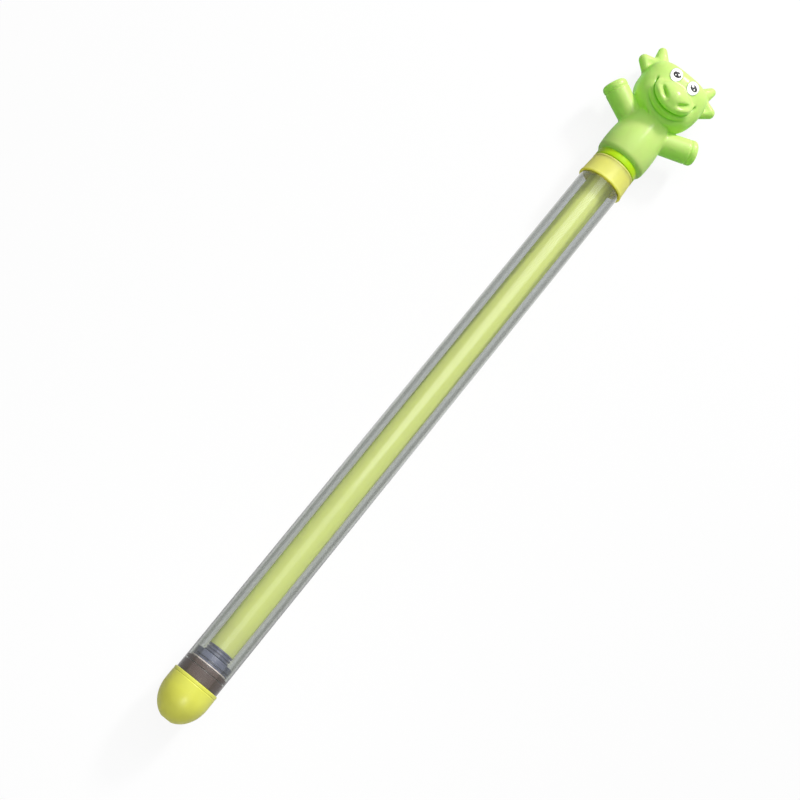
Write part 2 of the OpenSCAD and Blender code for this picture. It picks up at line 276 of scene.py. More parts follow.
# Materials. Noise scales are per metre, bump distances are in metres.
CLOUD_SCALE = 90  # cloudiness of a moulded colour
GLOSS_SCALE = 240  # patches of more and less gloss
CLOUD_SPAN = (0.32, 0.68)  # noise values at the deep and the light colour
NOISE_SPAN = (0.3, 0.7)  # noise values at the ends of other spans
GRAIN_DEEP = 0.0003
PLASTIC_IOR = 1.5
COAT_ROUGH = 0.23
GLOW_RADIUS = (0.002, 0.004, 0.001)  # how far red, green and blue light spreads in the skin
ALONG_ROD = (0.02, 1, 1)  # stretches noise into streaks along the rod
CLEAR_IOR = 1.47
CLEAR_ROUGH = (0.02, 0.07)
DRAWN_SCALE = 700  # drawing lines on the clear tube
DRAWN_STRETCH = (0.012, 1, 1)
DRAWN_BUMP = 0.02
DRAWN_DEEP = 0.0001
CLEAR_BLEND = 0.5
CLEAR_TINT_AND_PAINTED_SHADE = [  # tint of the clear tube, from where it faces the eye to its edge: a dark line painted where the rod's edge shows and grey painted shade towards the slanted sides, standing for darker surroundings seen through it
    (0.0, (0.93, 0.94, 0.93)),
    (0.15, (0.90, 0.91, 0.88)),
    (0.20, (0.36, 0.38, 0.30)),
    (0.34, (0.46, 0.48, 0.49)),
    (1.0, (0.44, 0.46, 0.485)),
]
STEEL_DEEP = (0.42, 0.42, 0.43)
STEEL_LIGHT = (0.58, 0.58, 0.59)
STEEL_ROUGH = (0.28, 0.45)
STEEL_SCALE = 1600
STEEL_STRETCH = (1, 0.2, 0.2)
STEEL_BUMP = 0.1
STEEL_GRAIN = 0.0002
WHITE_RGBA = (1, 1, 1, 1)


def set_inputs(node, **values):
    """Sets a node's sockets by name, with _ for each space."""
    for key, value in values.items():
        node.inputs[key.replace("_", " ")].default_value = value


class Nodes:
    """Short calls for a node tree."""

    def __init__(self, tree):
        self.tree = tree

    def add(self, kind, **values):
        node = self.tree.nodes.new(kind)
        for key, value in values.items():
            setattr(node, key, value)
        return node

    def link(self, a, b):
        self.tree.links.new(a, b)

    def largest(self, a, b):
        node = self.add("ShaderNodeMath", operation="MAXIMUM")
        self.link(a, node.inputs[0])
        self.link(b, node.inputs[1])
        return node.outputs["Value"]

    def span(self, fac, low, high, between):
        """Takes values between two ends to a span from low to high."""
        node = self.add("ShaderNodeMapRange")
        set_inputs(node, From_Min=between[0], From_Max=between[1], To_Min=low, To_Max=high)
        self.link(fac, node.inputs["Value"])
        return node.outputs["Result"]

    def mix_shaders(self, first, second):
        """Shows a mix of two shaders, and returns the mix node."""
        mix = self.add("ShaderNodeMixShader")
        self.link(first, mix.inputs[1])
        self.link(second, mix.inputs[2])
        self.link(mix.outputs["Shader"], self.tree.nodes["Material Output"].inputs["Surface"])
        return mix


class Surface(Nodes):
    """A new material's node tree, round its Principled shader."""

    def __init__(self, name):
        self.material = bpy.data.materials.new(name)
        self.material.use_nodes = True
        super().__init__(self.material.node_tree)
        self.shader = self.tree.nodes["Principled BSDF"]
        self.coords = self.add("ShaderNodeTexCoord").outputs["Object"]

    def feed(self, output, socket):
        self.link(output, self.shader.inputs[socket])

    def noise(self, scale, detail, stretch=(1, 1, 1)):
        mapping = self.add("ShaderNodeMapping")
        set_inputs(mapping, Scale=stretch)
        self.link(self.coords, mapping.inputs["Vector"])
        noise = self.add("ShaderNodeTexNoise")
        set_inputs(noise, Scale=scale, Detail=detail)
        self.link(mapping.outputs["Vector"], noise.inputs["Vector"])
        return noise.outputs["Fac"]

    def ramp(self, fac, stops):
        """Colours by stops of (place, colour)."""
        node = self.add("ShaderNodeValToRGB")
        elements = node.color_ramp.elements
        while len(elements) < len(stops):
            elements.new(1.0)
        for element, (at, colour) in zip(elements, stops):
            element.position = at
            element.color = (*colour, 1)
        self.link(fac, node.inputs["Fac"])
        return node.outputs["Color"]

    def with_painted_groove_shade(self, colour, painted_shade):
        """The colour, with a dark colour mixed in as painted shade where the mesh's groove share is
        high.
        """
        share = self.add("ShaderNodeAttribute", attribute_name="groove")
        mix = self.add("ShaderNodeMix", data_type="RGBA")
        first, second = (i for i in mix.inputs if i.type == "RGBA")
        self.link(share.outputs["Fac"], mix.inputs["Factor"])
        self.link(colour, first)
        second.default_value = (*painted_shade, 1)
        return next(o for o in mix.outputs if o.type == "RGBA")

    def bump(self, height, strength, distance):
        node = self.add("ShaderNodeBump")
        set_inputs(node, Strength=strength, Distance=distance)
        self.link(height, node.inputs["Height"])
        self.feed(node.outputs["Normal"], "Normal")


def moulded(name, light, deep, rough, grain, bump, stretch=(1, 1, 1), glow=0.0, level=0.5, coat=0.0,
            through=None, groove=None):
    """Moulded plastic: a slightly cloudy colour, uneven gloss and a fine skin.
    Through is the share, deep and light colour of the light that comes through it,
    and groove is a darker colour painted as shade into the grooves of the mesh, on both colours."""
    s = Surface(name)
    cloud = s.noise(CLOUD_SCALE, detail=4, stretch=stretch)

    def cloudy(deep, light):
        colour = s.ramp(cloud, [(CLOUD_SPAN[0], deep), (CLOUD_SPAN[1], light)])
        return s.with_painted_groove_shade(colour, groove) if groove else colour

    s.feed(cloudy(deep, light), "Base Color")
    gloss = s.noise(GLOSS_SCALE, detail=3, stretch=stretch)
    s.feed(s.span(gloss, *rough, NOISE_SPAN), "Roughness")
    s.bump(s.noise(grain, detail=2, stretch=stretch), bump, GRAIN_DEEP)
    set_inputs(s.shader, IOR=PLASTIC_IOR, Specular_IOR_Level=level)
    set_inputs(s.shader, Coat_Weight=coat, Coat_Roughness=COAT_ROUGH)
    set_inputs(s.shader, Subsurface_Weight=glow, Subsurface_Radius=GLOW_RADIUS, Subsurface_Scale=1.0)
    if through:
        share, inner_deep, inner_light = through
        inner = s.add("ShaderNodeBsdfTranslucent")
        s.link(cloudy(inner_deep, inner_light), inner.inputs["Color"])
        set_inputs(s.mix_shaders(s.shader.outputs["BSDF"], inner.outputs["BSDF"]), Fac=share)
    return s.material


def clear_plastic():
    """Clear tube with drawing lines along it, tinted grey by painted shade where it is seen at a slant.
    Light reaches what is inside.
    """
    s = Surface("clear_plastic")
    edge = s.add("ShaderNodeLayerWeight")
    set_inputs(edge, Blend=CLEAR_BLEND)
    s.feed(s.ramp(edge.outputs["Facing"], CLEAR_TINT_AND_PAINTED_SHADE), "Base Color")
    lines = s.noise(DRAWN_SCALE, detail=3, stretch=DRAWN_STRETCH)
    s.feed(s.span(lines, *CLEAR_ROUGH, NOISE_SPAN), "Roughness")
    s.bump(lines, DRAWN_BUMP, DRAWN_DEEP)
    set_inputs(s.shader, IOR=CLEAR_IOR, Transmission_Weight=1.0)
    path = s.add("ShaderNodeLightPath")
    mix = s.mix_shaders(s.shader.outputs["BSDF"], s.add("ShaderNodeBsdfTransparent").outputs["BSDF"])
    s.link(s.largest(path.outputs["Is Shadow Ray"], path.outputs["Is Diffuse Ray"]), mix.inputs["Fac"])
    return s.material


def steel():
    s = Surface("screw_steel")
    ring = s.noise(STEEL_SCALE, detail=2, stretch=STEEL_STRETCH)
    s.feed(s.ramp(ring, [(NOISE_SPAN[0], STEEL_DEEP), (NOISE_SPAN[1], STEEL_LIGHT)]), "Base Color")
    s.feed(s.span(ring, *STEEL_ROUGH, NOISE_SPAN), "Roughness")
    s.bump(ring, STEEL_BUMP, STEEL_GRAIN)
    set_inputs(s.shader, Metallic=1.0)
    return s.material


LIME = moulded(
    "lime_plastic", light=(0.94, 0.95, 0.35), deep=(0.90, 0.91, 0.30), rough=(0.30, 0.42),
    grain=1400, bump=0.06,
    through=(0.5, (0.88, 0.86, 0.04), (0.93, 0.91, 0.05)),
)
CAP = moulded(
    "cap_plastic", light=(0.90, 0.93, 0.16), deep=(0.86, 0.88, 0.13), rough=(0.28, 0.40),
    grain=1400, bump=0.06,
    through=(0.25, (0.84, 0.80, 0.02), (0.90, 0.86, 0.03)),
)
ROD = moulded(
    "rod_plastic", light=(0.79, 0.84, 0.38), deep=(0.71, 0.76, 0.29), rough=(0.34, 0.46),
    grain=900, bump=0.08, stretch=ALONG_ROD,
    through=(0.42, (0.86, 0.92, 0.10), (0.91, 0.97, 0.13)),
)
# The groove colour is painted shade: a darker green mixed into the creases of the face
GREEN = moulded(
    "green_plastic", light=(0.93, 0.97, 0.38), deep=(0.89, 0.95, 0.34), rough=(0.40, 0.50),
    grain=1200, bump=0.03, level=0.1, coat=0.5,
    through=(0.46, (0.40, 0.83, 0.006), (0.44, 0.86, 0.008)), groove=(0.14, 0.42, 0.014),
)
BAND = moulded(
    "band_plastic", light=(0.48, 0.78, 0.008), deep=(0.44, 0.74, 0.006), rough=(0.34, 0.44),
    grain=1200, bump=0.04, glow=0.3, level=0.2,
)
SLATE = moulded(
    "slate_plastic", light=(0.12, 0.135, 0.20), deep=(0.08, 0.09, 0.14), rough=(0.25, 0.4),
    grain=1500, bump=0.08,
)
PALE = moulded(
    "washer_plastic", light=(0.80, 0.70, 0.64), deep=(0.70, 0.60, 0.55), rough=(0.4, 0.55),
    grain=1500, bump=0.08,
)
RUBBER = moulded(
    "seal_rubber", light=(0.110, 0.075, 0.062), deep=(0.070, 0.048, 0.040), rough=(0.35, 0.6),
    grain=1100, bump=0.15,
)
WHITE = moulded(
    "eye_white", light=(0.93, 0.93, 0.91), deep=(0.88, 0.88, 0.86), rough=(0.18, 0.26),
    grain=1800, bump=0.02,
)
BLACK = moulded(
    "eye_black", light=(0.012, 0.012, 0.016), deep=(0.006, 0.006, 0.010), rough=(0.30, 0.40),
    grain=1800, bump=0.02, level=0.1,
)
GREY = moulded(
    "eye_outline", light=(0.50, 0.55, 0.46), deep=(0.42, 0.48, 0.38), rough=(0.2, 0.3),
    grain=1800, bump=0.02,
)
CLEAR = clear_plastic()
STEEL = steel()


# Clear tube
lathe("clear_barrel", [
    (TUBE_X0, BORE_R, CRISP),
    (TUBE_X0, TUBE_R, CRISP),
    (TUBE_X1, TUBE_R, CRISP),
    (TUBE_X1, BORE_R, CRISP),
], CLEAR, "barrel", "barrel_tube")


# Nozzle cap
def dome_points():
    """Smooth dome from the tip's rim to the cap's sleeve."""
    start = math.asin(TIP_R / CAP_R)
    length = TUBE_X0 / math.cos(start)
    return [
        (TUBE_X0 - length * math.cos(a), CAP_R * math.sin(a), SQUARE)
        for a in np.linspace(start, math.pi / 2, DOME_STEPS)
    ]


rim_groove_x = CAP_X1 - RIM_GROOVE
lathe("cap_shell", [
    (0, MOUTH_R, EDGE),
    *dome_points(),
    (rim_groove_x - RIM_GROOVE_TOP, CAP_R, FINE),
    (rim_groove_x - RIM_GROOVE_FLOOR, CAP_R - RIM_GROOVE_DEEP, HAIR),
    (rim_groove_x + RIM_GROOVE_FLOOR, CAP_R - RIM_GROOVE_DEEP, HAIR),
    (rim_groove_x + RIM_GROOVE_TOP, CAP_R, FINE),
    (CAP_X1, CAP_R, FULL),
    (CAP_X1, SOCKET_R, EDGE),
    (TUBE_X0, SOCKET_R, SQUARE),
    (TUBE_X0, CHAMBER_R, SOFT),
    (MOUTH_LEN, MOUTH_R, SOFT),
], CAP, "barrel", "nozzle_cap")

# Collar
lathe("collar_ring", [
    (COLLAR_X0, SOCKET_R, EDGE),
    (COLLAR_X0, COLLAR_FOOT_R, FOOT_EDGE),
    (COLLAR_X0 + FOOT_LIP, FOOT_LIP_R, EDGE),
    (COLLAR_X0 + FOOT_LIP + LIP_STEP, WALL_FOOT_R, FINE),
    (COLLAR_X1 - TOP_LIP - LIP_STEP, WALL_TOP_R, FINE),
    (COLLAR_X1 - TOP_LIP, TOP_LIP_R, EDGE),
    (COLLAR_X1, COLLAR_TOP_R, ROUND),
    (COLLAR_X1, GUIDE_R, SOFT),
    (SLEEVE_X0, GUIDE_R, EDGE),
    (SLEEVE_X0, GUIDE_OUT_R, EDGE),
    (TUBE_X1, GUIDE_OUT_R, EDGE),
    (TUBE_X1, RING_R, EDGE),
    (SLEEVE_X0, RING_R, EDGE),
    (SLEEVE_X0, RING_OUT_R, EDGE),
    (TUBE_X1, RING_OUT_R, SQUARE),
    (TUBE_X1, SOCKET_R, SQUARE),
], LIME, "barrel", "collar")

# Rod
lathe("rod_tube", [
    (ROD_X0, ROD_IN_R, CRISP),
    (ROD_X0, ROD_R, SOFT),
    (ROD_X1, ROD_R, SOFT),
    (ROD_X1, ROD_IN_R, CRISP),
], ROD, "plunger", "plunger_rod")


# Piston plug
def neck_points():
    """Ribs round the plug's neck. The last one ends at the rod."""
    rib = NECK_LEN / NECK_RIBS
    points = []
    for i in range(NECK_RIBS):
        low = FLANGE_X1 + (i + 0.5) * rib
        high = low + rib / 2
        points += [(low, NECK_R, FINE), (low, ROD_R, EDGE), (high, ROD_R, EDGE), (high, NECK_R, FINE)]
    return points[:-1]


lathe("plug_body", [
    (STEM_X0 + SCREW_BITE, 0, SQUARE),
    (STEM_X0 + SCREW_BITE, SCREW_R, SQUARE),
    (STEM_X0, SCREW_R, FINE),
    (STEM_X0, STEM_R, SOFT),
    (FLANGE_X0, STEM_R, FINE),
    (FLANGE_X0, FLANGE_R, SOFT),
    (FLANGE_X0 + FLANGE_GROOVE, FLANGE_R, CRISP),
    (FLANGE_X0 + FLANGE_GROOVE, FLANGE_R - FLANGE_GROOVE_DEEP, FINE),
    (FLANGE_X0 + 2 * FLANGE_GROOVE, FLANGE_R - FLANGE_GROOVE_DEEP, FINE),
    (FLANGE_X0 + 2 * FLANGE_GROOVE, FLANGE_R, CRISP),
    (FLANGE_X1, FLANGE_R, FULL),
    (FLANGE_X1, NECK_R, ROUND),
    *neck_points(),
    (ROD_X0, SPIGOT_R, SQUARE),
    (ROD_X0 + SPIGOT_LEN, SPIGOT_R, LEAD),
    (ROD_X0 + SPIGOT_LEN, 0, SQUARE),
], SLATE, "plunger", "piston_plug")

# Washer between flange and seal
lathe("washer_disc", [
    (WASHER_X0, STEM_R + GLUE, SQUARE),
    (WASHER_X0, FLANGE_R, EDGE),
    (FLANGE_X0, FLANGE_R, EDGE),
    (FLANGE_X0, STEM_R + GLUE, SQUARE),
], PALE, "plunger", "seal_washer")


# Rubber seal
def lip_groove_points(x):
    """Narrow groove in the seal, round a place along the barrel."""
    return [
        (x - LIP_GROOVE, LIP_R, FINE),
        (x, LIP_R - LIP_GROOVE_DEEP, FINE),
        (x + LIP_GROOVE, LIP_R, FINE),
    ]


lathe("seal_ring", [
    (SEAL_X0, STEM_R + SEAL_GRIP, EDGE),
    (SEAL_X0, LIP_R, LIP_EDGE),
    *lip_groove_points(SEAL_X0 + LIP_W + LIP_GROOVE),
    *lip_groove_points(SEAL_X1 - LIP_W - LIP_GROOVE),
    (SEAL_X1, LIP_R, LIP_EDGE),
    (SEAL_X1, STEM_R + SEAL_GRIP, EDGE),
], RUBBER, "seal", "piston_seal")

# Ferrule between rod and figure
lathe("ferrule_band", [
    (ROD_X1, 0, SQUARE),
    (ROD_X1, FERRULE_IN_R, SQUARE),
    (BAND_X0, FERRULE_IN_R, EDGE),
    (BAND_X0, BAND_R, ROUND),
    (FOOT_X, BAND_R, EDGE),
    (FOOT_X, FERRULE_R, SQUARE),
    (FOOT_X + FOOT_PLATE, FERRULE_R, SQUARE),
    (FOOT_X + FOOT_PLATE, FERRULE_R + FERRULE_RING, SOFT),
    (FOOT_X + FOOT_PLATE + FERRULE_RING, FERRULE_R + FERRULE_RING, SOFT),
    (FOOT_X + FOOT_PLATE + FERRULE_RING, FERRULE_R, SQUARE),
    (ROD_X1 + FERRULE_END, FERRULE_R, FULL),
    (ROD_X1 + FERRULE_END, 0, SQUARE),
], BAND, "plunger", "rod_ferrule")

# Pieces that keep their CAD shape
dress("seal_retainer", SLATE)
dress("piston_screw", STEEL)


# Figure, in millimetres with x sideways, y to the front and z up from the torso's foot
VOXEL = 0.5
FIGURE_LOW = np.array([-36.0, -18.5, -1.5])
FIGURE_HIGH = np.array([36.0, 27.5, 79.5])
TINY = 1e-9
SMALL = 1e-6

# Torso and arms
TORSO_R = 15.4
TORSO_MID = 10.0
TORSO_HALF = 36.0
FOOT_ROUND = 3.6
ARM_Z = 22.0
ARM_RISE = math.radians(24.0)
ARM_REACH = 34.4
ARM_ROOT_R = 6.7
ARM_TIP_R = 7.5
ARM_ROUND = 2.8
CUFF_BACK = 4.8  # from the arm's end to the groove of its cuff
CUFF_OUT = 0.12  # how far the groove's centre lies outside the arm
CUFF_R = 0.5
CUFF_SOFT = 0.3

# Head, in three rounded forms that blend. It leans a little to one side.
HEAD = np.array([0.0, -0.5, 53.4])
HEAD_BACK = 15.5  # flat at the back of the head
HEAD_NEAR = 36.0  # distance from the head's centre within which its skin is worked out
HEAD_FAR = 24.0  # plain radius beyond that
NECK_Z = 28.0
LEAN = math.radians(2.0)
SKULL = np.array([20.6, 16.0, 14.0])
SKULL_SQUARE = 3.1
JAW = (18.4, 14.0, 13.2)
JAW_AT = (0.0, 3.5, -9.9)
MUZZLE = (14.6, 18.0, 12.0)
MUZZLE_AT = (0.0, 8.0, -10.2)
BLEND = 14.0

# Horns and ears, from the head's centre
HORN_ROOT = np.array([14.3, -2.9, 11.6])
HORN_TIP = np.array([18.5, -3.5, 20.5])
HORN_R = 5.5
HORN_TIP_R = 2.7
EAR_TOP = np.array([17.4, -2.2, 10.9])
EAR_LOW = np.array([19.0, -2.4, 4.2])
EAR_TIP = np.array([24.4, -2.4, 8.8])
EAR_R = 3.4
EAR_DISH = 0.1
EAR_EDGE = 1.3

# How softly the forms run into each other
ARM_JOIN = 1.3
HEAD_JOIN = 1.0
HORN_JOIN = 1.8
EAR_JOIN = 1.4

# Smile: tilts and sides in degrees round the muzzle, from the front and from straight down.
# Ridges are (height, place, width), and a groove has a height below 0.
# Fades are the sides at which a form starts and is whole.
SMILE_TILT = 41.5
SMILE_OPEN = 3.3
SMILE_HALF = 78.0
SMILE_FADE = (83.0, 69.0)
MIDDLE_FADE = (82.0, 25.0)
CORNER_AT = 76.0
CORNER_W = 6.0
UPPER_LIP = (0.6, -2.0, 1.9)
SMILE_LINE = (-1.0, 0.3, 0.5)
CORNER_PIT = (-0.8, 0.0, 0.7)
LIP_DROP = (0.5, 1.6)  # depth of the step under the lip, and what its middle adds
LIP_DROP_EDGE = (-0.4, 0.5)
LIP_DROP_RUN = (2.6, 4.9)  # how far the step runs out, and what its middle adds
LOWER_LIP = (0.8, 2.1, 1.0)
LOWER_LIP_FADE = (64.0, 24.0)
CHIN_TILT = 54.0
CHIN_LINE = (-1.0, 0.0, 0.8)
CHIN_LINE_FADE = (48.0, 22.0)
CHIN = (1.5, 3.0, 2.0)
CHIN_FADE = (40.0, 10.0)

# Nostrils
NOSTRIL_TILT = 30.5
NOSTRIL_TURN = (-43.5, -71.5)
NOSTRIL_REACH = 29.5
NOSTRIL_PIT = (-1.8, -0.1, 1.25)
NOSTRIL_HALF = 4.4
NOSTRIL_RIM = (0.9, 2.6, 1.6)
NOSTRIL_RIM_HALF = 4.9

# Painted shade in the face's grooves, as ridges of its share: a darker colour where shade falls in the
# smile line, mouth corners, chin crease and nostril slots
SMILE_PAINTED_SHADE = (0.8, 0.35, 0.65)
CORNER_PAINTED_SHADE = (1.0, 0.0, 0.7)
CHIN_PAINTED_SHADE = (0.45, -0.1, 0.8)
CHIN_PAINTED_SHADE_FADE = (52.0, 26.0)
NOSTRIL_PAINTED_SHADE = (0.5, -0.1, 1.1)
PAINTED_SHADE_NEAR = 1.0  # distance from the face's skin within which the painted groove shade shows

# Eyes, printed on raised pads
EYE_AT = (6.1, 5.1)
EYE = (3.75, 4.8)
PAD_HIGH = 0.25
PAD_EDGE = (1.06, 0.98)

# Socket for the ferrule, and the seam
HOLE_R = FERRULE_R + GLUE
HOLE_OVER = 0.5
SOCKET_HOLE_R = FERRULE_R + FERRULE_RING + GLUE
SOCKET_MID = 10.4
SEAM_HALF = 0.04  # half the gap between the two shells
SEAM_SNAP = 1e-7

# Steps onto the skin
SETTLE_STEPS = 3
SETTLE_REACH = 0.25
SLOPE_STEP = 0.05
SLOPE_LEAST = 0.05


def smooth_min(a, b, soft):
    h = np.clip(0.5 + 0.5 * (b - a) / soft, 0, 1)
    return b * (1 - h) + a * h - soft * h * (1 - h)


def smooth_max(a, b, soft):
    return -smooth_min(-a, -b, soft)


def bell(d, width):
    return np.exp(-((d / width) ** 2))


def ease(start, end, v):
    """Smooth rise from 0 at the start to 1 at the end."""
    t = np.clip((v - start) / (end - start), 0, 1)
    return t * t * (3 - 2 * t)


def ridge(v, form):
    high, at, width = form
    return high * bell(v - at, width)


def flat_bell(d, half):
    return np.exp(-((d / half) ** 4))


def mirrored(p):
    """Points with both sides taken to the positive one."""
    return np.stack([np.abs(p[:, 0]), p[:, 1], p[:, 2]], -1)


def ball_reach(d, half, centre):
    """Reach along unit directions of an ellipsoid that holds the origin."""
    half = np.array(half)
    u = d / half
    c = np.array(centre) / half
    a = (u * u).sum(-1)
    b = u @ c
    return np.maximum(0, b + np.sqrt(np.maximum(0, b * b - a * (c @ c - 1)))) / a


def face_dir(tilt, turn):
    """Unit direction that tilts away from straight ahead, and is turned round that line."""
    t = math.radians(tilt)
    r = math.radians(turn)
    return np.array([math.sin(t) * math.cos(r), math.cos(t), math.sin(t) * math.sin(r)])


def plain_head(d):
    """Reach of the head's blended forms along unit directions, with the flat at its back."""
    skull = ((np.abs(d) / SKULL) ** SKULL_SQUARE).sum(-1) ** (-1 / SKULL_SQUARE)
    jaw = ball_reach(d, JAW, JAW_AT)
    muzzle = ball_reach(d, MUZZLE, MUZZLE_AT)
    r = (skull**BLEND + jaw**BLEND + muzzle**BLEND) ** (1 / BLEND)
    return np.where(d[:, 1] < 0, np.minimum(r, HEAD_BACK / np.maximum(-d[:, 1], TINY)), r)


def mouth(d, tilt, r):
    """Height of the smile, lips and chin over the plain head, and the share of painted shade in their
    grooves.
    """
    side = np.abs(np.degrees(np.arctan2(d[:, 2], np.abs(d[:, 0]))) + 90)
    side = np.where(d[:, 2] > 0, 180, side)
    across = np.radians(tilt - SMILE_TILT - SMILE_OPEN * (side / SMILE_HALF) ** 2) * r
    smile = ease(*SMILE_FADE, side)
    middle = ease(*MIDDLE_FADE, side)
    corner = bell(side - CORNER_AT, CORNER_W)
    deep = LIP_DROP[0] + LIP_DROP[1] * middle
    run = LIP_DROP_RUN[0] + LIP_DROP_RUN[1] * middle
    drop = deep * ease(*LIP_DROP_EDGE, across) * np.exp(-np.maximum(across, 0) / run)
    high = smile * (ridge(across, UPPER_LIP) - drop + ridge(across, SMILE_LINE))
    high += corner * ridge(across, CORNER_PIT)
    high += ease(*LOWER_LIP_FADE, side) * ridge(across, LOWER_LIP)
    low = np.radians(tilt - CHIN_TILT) * r
    high += ease(*CHIN_LINE_FADE, side) * ridge(low, CHIN_LINE)
    high += ease(*CHIN_FADE, side) * ridge(low, CHIN)
    # Painted shade: share of darker colour along the smile line, mouth corners and chin crease
    painted_shade = np.maximum.reduce([
        smile * ridge(across, SMILE_PAINTED_SHADE),
        corner * ridge(across, CORNER_PAINTED_SHADE),
        ease(*CHIN_PAINTED_SHADE_FADE, side) * ridge(low, CHIN_PAINTED_SHADE),
    ])
    return high, painted_shade


def nostrils(d, tilt):
    """Height of the nostrils and their rims over the plain head, and the share of painted shade in their
    slots.
    """
    a, b = (face_dir(NOSTRIL_TILT, turn) * NOSTRIL_REACH for turn in NOSTRIL_TURN)
    line = (b - a) / np.linalg.norm(b - a)
    from_middle = mirrored(d) * NOSTRIL_REACH - (a + b) / 2
    along = from_middle @ line
    aside = np.linalg.norm(from_middle - along[:, None] * line, axis=-1)
    aside = np.where(tilt > NOSTRIL_TILT, aside, -aside)
    slot = flat_bell(along, NOSTRIL_HALF)
    rim = flat_bell(along, NOSTRIL_RIM_HALF)
    high = slot * ridge(aside, NOSTRIL_PIT) + rim * ridge(aside, NOSTRIL_RIM)
    # The second value is the share of painted shade in the nostril slot
    return high, slot * ridge(aside, NOSTRIL_PAINTED_SHADE)


def eye_pads(d, r):
    """Height of the pads under the eyes over the plain head."""
    x = np.abs(d[:, 0] * r) - EYE_AT[0]
    z = d[:, 2] * r - EYE_AT[1]
    pad = np.hypot(x / EYE[0], z / EYE[1])
    return PAD_HIGH * ease(*PAD_EDGE, pad) * (d[:, 1] > 0)


def head_reach(d):
    """Reach of the head's skin from its centre along unit directions, and the share of painted shade in
    its grooves.
    """
    r = plain_head(d)
    tilt = np.degrees(np.arccos(np.clip(d[:, 1], -1, 1)))
    mouth_high, mouth_painted_shade = mouth(d, tilt, r)
    nostril_high, nostril_painted_shade = nostrils(d, tilt)
    skin = r + mouth_high + nostril_high + eye_pads(d, r)
    return skin, np.maximum(mouth_painted_shade, nostril_painted_shade)


def horn_shape(p):
    """Distance to a cone with a ball at each end."""
    axis = HORN_TIP - HORN_ROOT
    taper = HORN_R - HORN_TIP_R
    from_root = p - HORN_ROOT
    length2 = axis @ axis
    slant2 = length2 - taper * taper
    y = from_root @ axis
    z = y - length2
    x2 = ((from_root * length2 - y[:, None] * axis) ** 2).sum(-1)
    y2 = y * y * length2
    z2 = z * z * length2
    limit = np.sign(taper) * taper * taper * x2
    side = (np.sqrt(x2 * slant2 / length2) + y * taper) / length2 - HORN_R
    tip = np.sqrt(x2 + z2) / length2 - HORN_TIP_R
    root = np.sqrt(x2 + y2) / length2 - HORN_R
    below = np.where(np.sign(y) * slant2 * y2 < limit, root, side)
    return np.where(np.sign(z) * slant2 * z2 > limit, tip, below)


def ear_shape(p):
    """Height over a rounded three-cornered plate with a shallow dish in its front."""
    corners = [corner[[0, 2]] for corner in (EAR_TOP, EAR_LOW, EAR_TIP)]
    q = p[:, [0, 2]]
    away = np.full(len(p), np.inf)
    inside = np.ones(len(p), bool)
    for i, a in enumerate(corners):
        edge = corners[(i + 1) % len(corners)] - a
        from_a = q - a
        t = np.clip(from_a @ edge / (edge @ edge), 0, 1)
        away = np.minimum(away, np.linalg.norm(from_a - t[:, None] * edge, axis=-1))
        inside &= edge[0] * from_a[:, 1] - edge[1] * from_a[:, 0] > 0
    away = np.where(inside, 0, away)
    plate = np.hypot(away, p[:, 1] - EAR_TOP[1]) - EAR_R
    middle = (EAR_TOP + EAR_LOW + EAR_TIP) / 3
    ball = np.linalg.norm(EAR_TIP - middle)
    in_front = np.array([0, ball + EAR_R - EAR_DISH, 0])
    dish = np.linalg.norm(p - middle - in_front, axis=-1) - ball
    return smooth_max(plate, -dish, EAR_EDGE)


def lean(p, angle):
    """Leans points of the head sideways about the neck."""
    c = math.cos(angle)
    s = math.sin(angle)
    up = p[:, 2] - NECK_Z
    return np.stack([p[:, 0] * c + up * s, p[:, 1], NECK_Z - p[:, 0] * s + up * c], -1)


def torso_shape(p):
    z = p[:, 2]
    outline = TORSO_R * np.sqrt(np.maximum(0, 1 - ((z - TORSO_MID) / TORSO_HALF) ** 2))
    return smooth_max(np.hypot(p[:, 0], p[:, 1]) - outline, -z, FOOT_ROUND)


def arm_shape(p):
    """Height over an arm: a cone with a rounded end and a groove at its cuff."""
    x = np.abs(p[:, 0])
    up = p[:, 2] - ARM_Z
    c = math.cos(ARM_RISE)
    s = math.sin(ARM_RISE)
    run = x * c + up * s
    off = np.hypot(-x * s + up * c, p[:, 1])
    radius = ARM_ROOT_R + (ARM_TIP_R - ARM_ROOT_R) * np.clip(run / ARM_REACH, 0, 1)
    out = off - radius + ARM_ROUND
    past = run - ARM_REACH + ARM_ROUND
    corner = np.hypot(np.maximum(out, 0), np.maximum(past, 0))
    arm = np.minimum(np.maximum(out, past), 0) + corner - ARM_ROUND
    cuff = np.hypot(off - radius - CUFF_OUT, run - ARM_REACH + CUFF_BACK) - CUFF_R
    return smooth_max(arm, -cuff, CUFF_SOFT)


def head_shape(v):
    """Height over the head's skin at points from its centre."""
    n = np.maximum(np.linalg.norm(v, axis=-1), SMALL)
    head = n - HEAD_FAR
    near = n < HEAD_NEAR
    head[near] = n[near] - head_reach(v[near] / n[near][:, None])[0]
    return head


def figure(p):
    """Height over the figure's skin at points of an (n, 3) array."""
    v = mirrored(lean(p, -LEAN)) - HEAD
    body = smooth_min(torso_shape(p), arm_shape(p), ARM_JOIN)
    body = smooth_min(body, head_shape(v), HEAD_JOIN)
    body = smooth_min(body, horn_shape(v), HORN_JOIN)
    return smooth_min(body, ear_shape(v), EAR_JOIN)


def shell(p):
    """The figure with the socket that takes the ferrule."""
    rho = np.hypot(p[:, 0], p[:, 1])
    z = p[:, 2]
    hole = np.maximum(rho - HOLE_R, z - FOOT_PLATE - HOLE_OVER)
    socket = np.maximum(rho - SOCKET_HOLE_R, np.abs(z - SOCKET_MID) - SOCKET_MID + FOOT_PLATE)
    return np.maximum(figure(p), -np.minimum(hole, socket))


